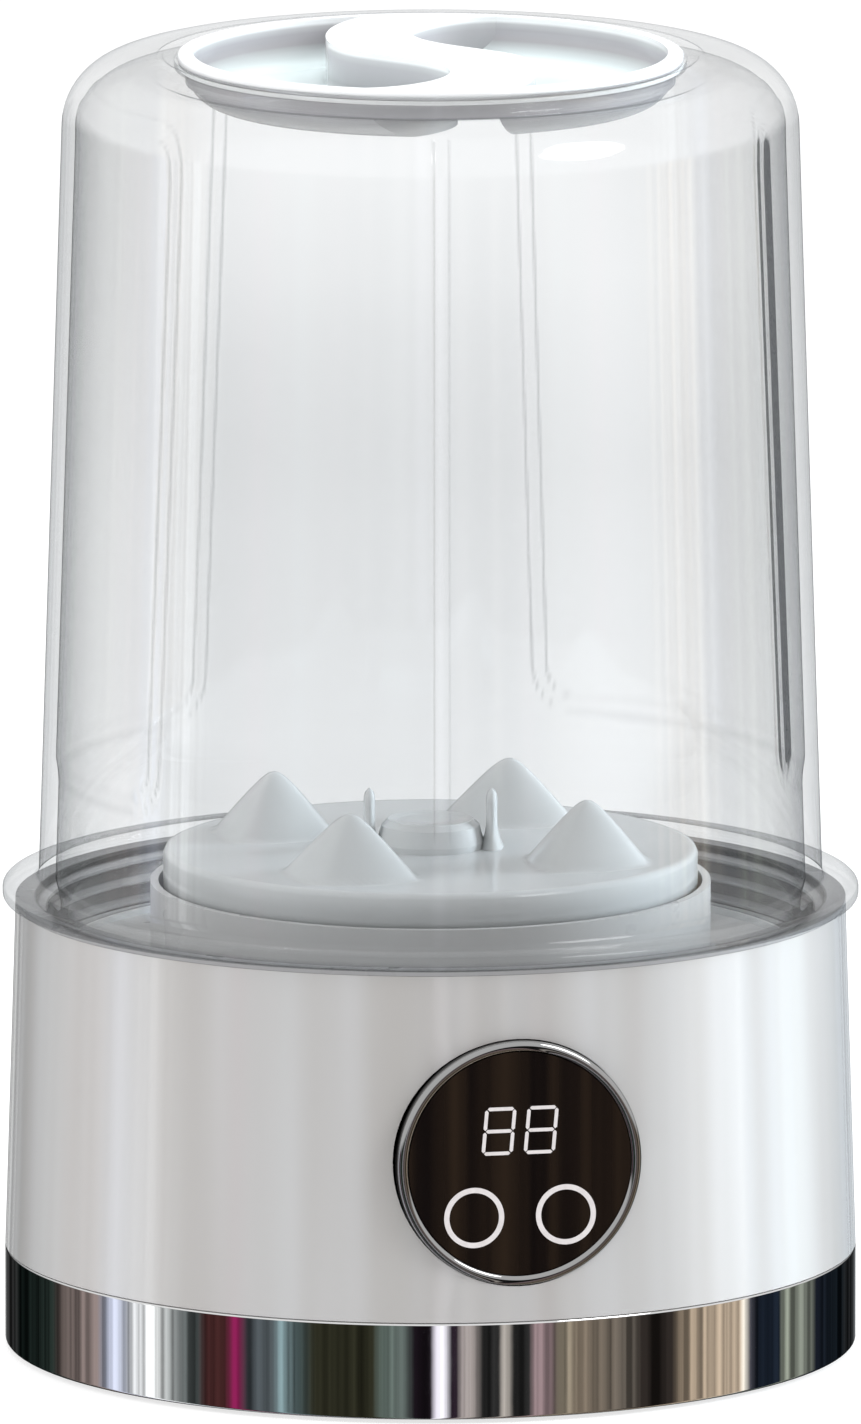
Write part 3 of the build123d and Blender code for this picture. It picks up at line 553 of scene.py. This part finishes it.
def jar_outline():
    """Outline of the jar from the skirt's foot up the outside and down into the neck."""
    skirt = [(SKIRT_IN + EASE, JAR_LOW.z), (SKIRT_OUT - EASE, JAR_LOW.z),
             (SKIRT_OUT, JAR_LOW.z + EASE), (SKIRT_OUT, COLLAR_BOTTOM)]
    low, high = COLLAR_ROUND_LOW, COLLAR_ROUND_HIGH
    collar = arc(COLLAR_R - low, COLLAR_BOTTOM + low, low, -90, 0, 4)
    collar += arc(COLLAR_R - high, COLLAR_TOP - high, high, 0, 90, 5)
    fillet = [(WALL_R + 1.6, COLLAR_TOP), (WALL_R + 0.45, COLLAR_TOP + 0.45),
              (WALL_R - 0.02, COLLAR_TOP + 1.5)]
    wall = [(WALL_R + (SHOULDER_R - WALL_R) * step / 8,
             COLLAR_TOP + (SHOULDER_Z - COLLAR_TOP) * step / 8) for step in range(1, 8)]
    shoulder = arc(SHOULDER_R - SHOULDER_ROUND, TOP_Z - SHOULDER_ROUND, SHOULDER_ROUND,
                   LEAN, 90, 16)
    bead = [(BEAD_OUT, TOP_Z), *arc(BEAD_R, TOP_Z - 0.1, BEAD_ROUND, 20, 160, 6),
            (BEAD_IN, TOP_Z)]
    ledge = [(NECK_R + EASE, TOP_Z), (NECK_R, TOP_Z - EASE), (NECK_R, LEDGE_Z),
             (LEDGE_IN + EASE, LEDGE_Z), (LEDGE_IN, LEDGE_Z - EASE)]
    neck = [(LEDGE_IN, NECK_BOTTOM + 0.4), (LEDGE_IN + 0.4, NECK_BOTTOM),
            (NECK_OUT, NECK_BOTTOM), (NECK_OUT + 1, NECK_BOTTOM + 0.6),
            (NECK_OUT + 2.5, TOP_Z - WALL)]
    return skirt + collar + fillet + wall + shoulder + bead + ledge + neck


def jar_profile():
    """Closed outline of the jar as (radius, height, takes relief) points."""
    inside = arc(SHOULDER_R - SHOULDER_ROUND, TOP_Z - SHOULDER_ROUND, SHOULDER_ROUND - WALL,
                 90, LEAN, 18)
    top, bottom = SHOULDER_Z - 2, COLLAR_TOP + 0.5
    inside += [(SHOULDER_R + (WALL_R - SHOULDER_R) * step / WALL_STEPS - WALL,
                top + (bottom - top) * step / WALL_STEPS) for step in range(1, WALL_STEPS + 1)]
    skirt = [(SKIRT_IN + 0.2, COLLAR_BOTTOM + 0.4), (SKIRT_IN, COLLAR_BOTTOM - 1),
             (SKIRT_IN, JAR_LOW.z + EASE)]
    return ([(*point, False) for point in jar_outline()] + [(*point, True) for point in inside]
            + [(*point, False) for point in skirt])


def make_jar():
    """Clear jar with its collar, skirt, neck and the relief on its inside."""
    angles = jar_angles()
    profile = jar_profile()
    points, painted_shades, shares = [], [], []
    for radius, height, takes in profile:
        by_collar = height < COLLAR_TOP + 0.1
        on_wall = height < SHOULDER_Z + 2
        for angle in angles:
            push, painted_shade, painted_bar = relief(angle, height, radius) if takes else (0.0, 0.0, 0.0)
            # the collar gets painted shade in place of the relief's
            if by_collar:
                painted_shade = COLLAR_SHADE if radius > COLLAR_SHADE_FROM else 0.0
            else:
                # the wall's lower front and back get painted shade too
                painted_shade = max(painted_shade, painted_low_shade(angle, height))
            points.append((*polar(radius + push, angle), height))
            painted_shades.append(painted_shade)
            # the painted dark reflection raises the slant share inside its band
            shares.append((1.0 if on_wall else FLAT_SHARE) + PAINTED_BAR_SHARE * painted_bar)
    faces = ring_faces(len(profile), len(angles), True)
    jar = make_object("jar_clear", points, faces, "jar_set", "clear")
    for name, values in (("painted_shade_share", painted_shades), ("slant_share_with_painted_bar", shares)):
        jar.data.attributes.new(name, "FLOAT", "POINT").data.foreach_set("value", values)
    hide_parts("jar")


# ---- pulsator ----
def fin_height(x, y):
    """Height of the nearest sail-shaped fin above the plate at a place."""
    turn = degrees(atan2(x, -y)) - FIN_TURN
    turn = (turn + 45) % 90 - 45
    reach = hypot(x, y)
    along = abs(reach * sin(radians(turn))) / FIN_HALF
    out = abs(reach * cos(radians(turn)) - FIN_AT) / FIN_THICK
    away = (along ** FIN_CREST + out ** FIN_CREST) ** (1 / FIN_CREST)
    full = hypot(1, FIN_TIP)
    return max(0.0, FIN_H * (full - hypot(away, FIN_TIP)) / (full - FIN_TIP))


def make_pulsator():
    """Agitator disc as one skin: plate, fins, rim and underside."""
    around, rings = 240, 64
    rows = [(HUB_IN + (PLATE_R - RIM_ROUND - HUB_IN) * step / rings, None)
            for step in range(rings + 1)]           # no height: the fins give it
    rows += [(PLATE_R - 0.35, PLATE_Z - 0.35), (PLATE_R, PLATE_Z - RIM_ROUND),
             (PLATE_R, PULSATOR_LOW.z), (PLATE_R - RIM_T, PULSATOR_LOW.z),
             (PLATE_R - RIM_T, PLATE_Z - PLATE_T), (HUB_OUT, PLATE_Z - PLATE_T),
             (HUB_OUT, PULSATOR_LOW.z), (HUB_IN, PULSATOR_LOW.z)]
    points = []
    for radius, height in rows:
        for step in range(around):
            x, y = polar(radius, 360 * step / around)
            z = PLATE_Z + fin_height(x, y) if height is None else height
            points.append((x, y, z))
    disc = make_object("pulsator_disc", points, ring_faces(len(rows), around, True),
                       "pulsator_set", "deck_grey", "pulsator_white")
    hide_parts("pulsator")


def make_blades():
    """Two small upright blades that stand beside the cap."""
    around, rows = 32, 14
    points, faces = [], []
    for side in (0, 180):
        first = len(points)
        for row in range(rows + 1):
            rise = row / rows
            foot = (1 - min(1.0, rise * FOOT_RISE)) ** 2
            near_top = max(0.0, (rise - CROWN_FROM) / (1 - CROWN_FROM))
            crown = sqrt(1 - near_top ** 2 * CROWN_CLOSE)
            thick = (BLADE_HALF_T + FOOT_T * foot) * crown
            wide = (BLADE_HALF_W - BLADE_TAPER * rise + FOOT_W * foot) * crown
            for step in range(around):
                turn = 2 * pi * step / around
                out = BLADE_AT + thick * cos(turn)
                across = wide * abs(sin(turn)) ** BLADE_SQUARE * (1 if sin(turn) > 0 else -1)
                angle = radians(BLADE_TURN + side)
                points.append((out * sin(angle) + across * cos(angle),
                               -out * cos(angle) + across * sin(angle),
                               BLADE_LOW + (BLADE_TOP - BLADE_LOW) * rise))
        for face in ring_faces(rows + 1, around, False):
            faces.append(tuple(first + index for index in face))
        last = first + rows * around
        faces.append(tuple(range(last, last + around)))
        faces.append(tuple(range(first + around - 1, first - 1, -1)))
    make_object("pulsator_blades", points, faces, "pulsator_set", "deck_grey", "pulsator_white")


# ---- panel ----
def make_bezel():
    """Bright rounded ring round the window."""
    low, high = (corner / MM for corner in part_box("panel_bezel"))
    lens_low, lens_high = (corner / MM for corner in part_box("panel_lens"))
    outer = high.x
    inner = lens_high.x + SLIVER
    middle = (low.z + high.z) / 2
    half = (outer - inner) / 2
    crown = -low.y - BEZEL_CROWN
    behind = -lens_low.y - BEZEL_LIP_AT
    profile = [(inner - BEZEL_LIP, -high.y), (outer, -high.y)]
    profile += [(inner + half + half * cos(radians(turn)), crown + BEZEL_CROWN * sin(radians(turn)))
                for turn in range(0, 181, 20)]
    profile += [(inner, behind), (inner - BEZEL_LIP, behind - 0.2)]
    around = 180
    points = []
    for radius, depth in profile:
        for step in range(around):
            turn = 2 * pi * step / around
            points.append((radius * cos(turn), -depth, middle + radius * sin(turn)))
    # the ring takes the darker copy of the chrome, with its painted shade
    bezel = make_object("bezel_ring", points, ring_faces(len(profile), around, True),
                        "base", "chrome", "bezel_chrome_painted_dark")
    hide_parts("panel_bezel")


# ---- studio ----
VIEW_TURN = -12.0
VIEW_RISE = 10.2
FRAME_H = 0.2838                  # what the picture spans from bottom to top
LENS = 800.0                      # lens and sensor in millimetres
SENSOR = 36.0
AIM_Z = 0.1275
EVEN_LIGHT = 0.8
FLOOR_R = 12.0
STREAK_SCALE = 13.0
STREAK_DARK = 0.35                # the streaks dim and brighten the bars between these
STREAK_BRIGHT = 1.6
HORIZON_SOFT = 0.06               # the bars fade out over this height round the horizon

# what mirrors show: turn from the camera in degrees and colour, left and right of it
BARS_LEFT = (
    (-180, (0.5, 0.5, 0.5)), (-158, (0.3, 0.31, 0.31)), (-150, (0.012, 0.02, 0.018)),
    (-124, (0.02, 0.03, 0.026)), (-121, (0.15, 0.12, 0.11)), (-102, (0.24, 0.19, 0.18)),
    (-99, (0.6, 0.64, 0.8)), (-91, (0.5, 0.53, 0.62)), (-89, (0.9, 0.92, 0.95)),
    (-80, (0.85, 0.87, 0.87)), (-76, (0.4, 0.42, 0.42)), (-70, (0.15, 0.17, 0.17)),
    (-66, (0.05, 0.06, 0.06)), (-64, (0.05, 0.018, 0.018)), (-57, (0.06, 0.02, 0.02)),
    (-55, (0.2, 0.012, 0.07)), (-53, (0.2, 0.012, 0.07)), (-51, (0.06, 0.07, 0.08)),
    (-43, (0.1, 0.12, 0.13)), (-41, (0.2, 0.29, 0.31)), (-38, (0.16, 0.22, 0.23)),
    (-36, (0.07, 0.1, 0.1)), (-32, (0.03, 0.03, 0.018)), (-15, (0.02, 0.02, 0.012)),
    (-13, (0.13, 0.17, 0.15)), (-7, (0.13, 0.16, 0.15)), (-5, (0.01, 0.006, 0.01)),
    (0, (0.02, 0.015, 0.02)),
)
BARS_RIGHT = (
    (0, (0.02, 0.015, 0.02)), (1, (0.3, 0.27, 0.34)), (2, (0.95, 0.93, 1.0)),
    (4, (0.95, 0.93, 1.0)), (5, (0.02, 0.012, 0.02)), (8, (0.015, 0.01, 0.015)),
    (9, (0.7, 0.62, 0.6)), (12, (0.45, 0.4, 0.38)), (13, (0.02, 0.02, 0.02)),
    (19, (0.03, 0.03, 0.03)), (20, (0.6, 0.55, 0.5)), (22, (0.02, 0.02, 0.02)),
    (27, (0.03, 0.03, 0.03)), (28, (0.3, 0.22, 0.23)), (32, (0.24, 0.17, 0.18)),
    (34, (0.03, 0.025, 0.02)), (37, (0.42, 0.36, 0.27)), (40, (0.2, 0.16, 0.12)),
    (56, (0.15, 0.13, 0.11)), (59, (0.02, 0.016, 0.014)),
    (70, (0.02, 0.016, 0.014)), (71.5, (0.38, 0.3, 0.22)), (93, (0.5, 0.4, 0.3)),
    (94.5, (0.9, 0.85, 0.75)), (97, (0.08, 0.08, 0.1)), (100, (0.01, 0.015, 0.025)),
    (110, (0.01, 0.015, 0.025)), (111.5, (0.3, 0.33, 0.27)), (127, (0.2, 0.22, 0.19)),
    (129, (0.01, 0.013, 0.022)), (150, (0.02, 0.03, 0.04)), (180, (0.6, 0.63, 0.66)),
)


def make_world():
    """Soft even light, with upright bars below the horizon that only mirrors and gloss show."""
    world = bpy.data.worlds.new("studio")
    bpy.context.scene.world = world
    world.use_nodes = True
    tree = world.node_tree
    link = tree.links.new
    even = set_sockets(tree.nodes["Background"], {"Color": (1, 1, 1, 1), "Strength": EVEN_LIGHT})

    # which way the ray goes, as a turn from the camera
    place = add_node(tree, "TexCoord")
    turn = add_node(tree, "VectorRotate", Angle=radians(-VIEW_TURN))
    turn.rotation_type = "Z_AXIS"
    parts = add_node(tree, "SeparateXYZ")
    backwards = add_math(tree, "MULTIPLY", -1.0)
    angle = add_math(tree, "ARCTAN2")
    share = add_node(tree, "MapRange", From_Min=-pi, From_Max=pi)
    link(place.outputs["Generated"], turn.inputs["Vector"])
    link(turn.outputs["Vector"], parts.inputs["Vector"])
    link(parts.outputs["Y"], backwards.inputs[0])
    link(parts.outputs["X"], angle.inputs[0])
    link(backwards.outputs["Value"], angle.inputs[1])
    link(angle.outputs["Value"], share.inputs["Value"])

    # the bars on that side
    left, right = (colour_ramp(tree, [((at + 180) / 360, colour) for at, colour in stops])
                   for stops in (BARS_LEFT, BARS_RIGHT))
    is_right = add_math(tree, "GREATER_THAN", 0.5)
    halves = add_node(tree, "Mix")
    halves.data_type = "RGBA"
    for node in (left, right):
        link(share.outputs["Result"], node.inputs["Fac"])
    link(share.outputs["Result"], is_right.inputs[0])
    link(is_right.outputs["Value"], halves.inputs["Factor"])
    link(left.outputs["Color"], halves.inputs["A"])
    link(right.outputs["Color"], halves.inputs["B"])

    # uneven brightness from bar to bar
    streaks = add_node(tree, "TexNoise", Scale=STREAK_SCALE, Detail=4.0)
    streaks.noise_dimensions = "1D"
    depth = add_node(tree, "MapRange", From_Min=0.35, From_Max=0.65,
                     To_Min=STREAK_DARK, To_Max=STREAK_BRIGHT)
    streaked_bars = add_node(tree, "VectorMath")
    streaked_bars.operation = "SCALE"
    bars = add_node(tree, "Background", Strength=1.0)
    link(angle.outputs["Value"], streaks.inputs["W"])
    link(streaks.outputs["Fac"], depth.inputs["Value"])
    link(halves.outputs["Result"], streaked_bars.inputs["Vector"])
    link(depth.outputs["Result"], streaked_bars.inputs["Scale"])
    link(streaked_bars.outputs["Vector"], bars.inputs["Color"])

    # shown to mirror rays that have passed nothing clear, below the horizon
    path = add_node(tree, "LightPath")
    first = add_math(tree, "SUBTRACT")
    first.use_clamp = True
    below = add_node(tree, "MapRange", From_Min=HORIZON_SOFT, From_Max=-HORIZON_SOFT)
    shown = add_math(tree, "MULTIPLY")
    mix = add_node(tree, "MixShader")
    link(path.outputs["Is Glossy Ray"], first.inputs[0])
    link(path.outputs["Transmission Depth"], first.inputs[1])
    link(parts.outputs["Z"], below.inputs["Value"])
    link(first.outputs["Value"], shown.inputs[0])
    link(below.outputs["Result"], shown.inputs[1])
    link(shown.outputs["Value"], mix.inputs["Fac"])
    link(even.outputs["Background"], mix.inputs[1])
    link(bars.outputs["Background"], mix.inputs[2])
    link(mix.outputs["Shader"], tree.nodes["World Output"].inputs["Surface"])


def make_light(name, place, aim_z, size, watts, colour=(1, 1, 1), mirrored=False):
    """Soft oval lamp that faces a point on the washer's axis and may show in mirrors."""
    data = bpy.data.lights.new(name, "AREA")
    data.shape = "ELLIPSE"
    data.size, data.size_y = size
    data.energy = watts
    data.color = colour
    lamp = bpy.data.objects.new(name, data)
    bpy.context.scene.collection.objects.link(lamp)
    lamp.location = place
    aim = Vector((0, 0, aim_z)) - Vector(place)
    lamp.rotation_euler = aim.to_track_quat("-Z", "Y").to_euler()
    lamp.visible_glossy = mirrored


def make_floor():
    """Plain pale floor, wide enough for low views."""
    steps = 48
    turns = [2 * pi * step / steps for step in range(steps)]
    points = [(0, 0, 0)] + [(FLOOR_R * cos(turn), FLOOR_R * sin(turn), 0) for turn in turns]
    faces = [(0, i + 1, (i + 1) % steps + 1) for i in range(steps)]
    mesh = bpy.data.meshes.new("floor")
    mesh.from_pydata(points, [], faces)
    floor = bpy.data.objects.new("floor", mesh)
    bpy.context.scene.collection.objects.link(floor)
    look = new_look("floor_look", (0.3, 0.3, 0.3), 0.6, Emission_Strength=0.7,
                    Emission_Color=(1, 1, 1, 1))
    vary_colour(look, (0.29, 0.29, 0.29), (0.31, 0.31, 0.31), 3)
    mesh.materials.append(look)
    floor.visible_glossy = False


def make_camera():
    """Long-lens camera at the washer's front left."""
    data = bpy.data.cameras.new("camera")
    data.lens = LENS
    data.sensor_width = SENSOR
    data.clip_end = 100
    camera = bpy.data.objects.new("camera", data)
    bpy.context.scene.collection.objects.link(camera)
    away = FRAME_H * LENS / SENSOR
    x, y = polar(cos(radians(VIEW_RISE)), VIEW_TURN)
    back = Vector((x, y, sin(radians(VIEW_RISE))))
    camera.location = Vector((0, 0, AIM_Z)) + back * away
    camera.rotation_euler = (-back).to_track_quat("-Z", "Y").to_euler()
    bpy.context.scene.camera = camera
    bpy.context.scene.view_settings.view_transform = "Standard"


dress_nodes()
make_jar()
make_pulsator()
make_blades()
make_bezel()
make_world()
make_floor()
make_light("key", (0.9, -1.0, 1.1), 0.13, (0.7, 0.7), 8.5, mirrored=True)
make_light("fill", (-1.3, -0.1, 0.5), 0.13, (0.8, 1.2), 10)
make_light("side", (1.5, 0.15, 0.25), 0.08, (0.6, 1.3), 60, (0.82, 0.93, 1.0))
make_light("top", (0, 0.1, 1.3), 0.1, (0.8, 0.8), 9)
make_camera()
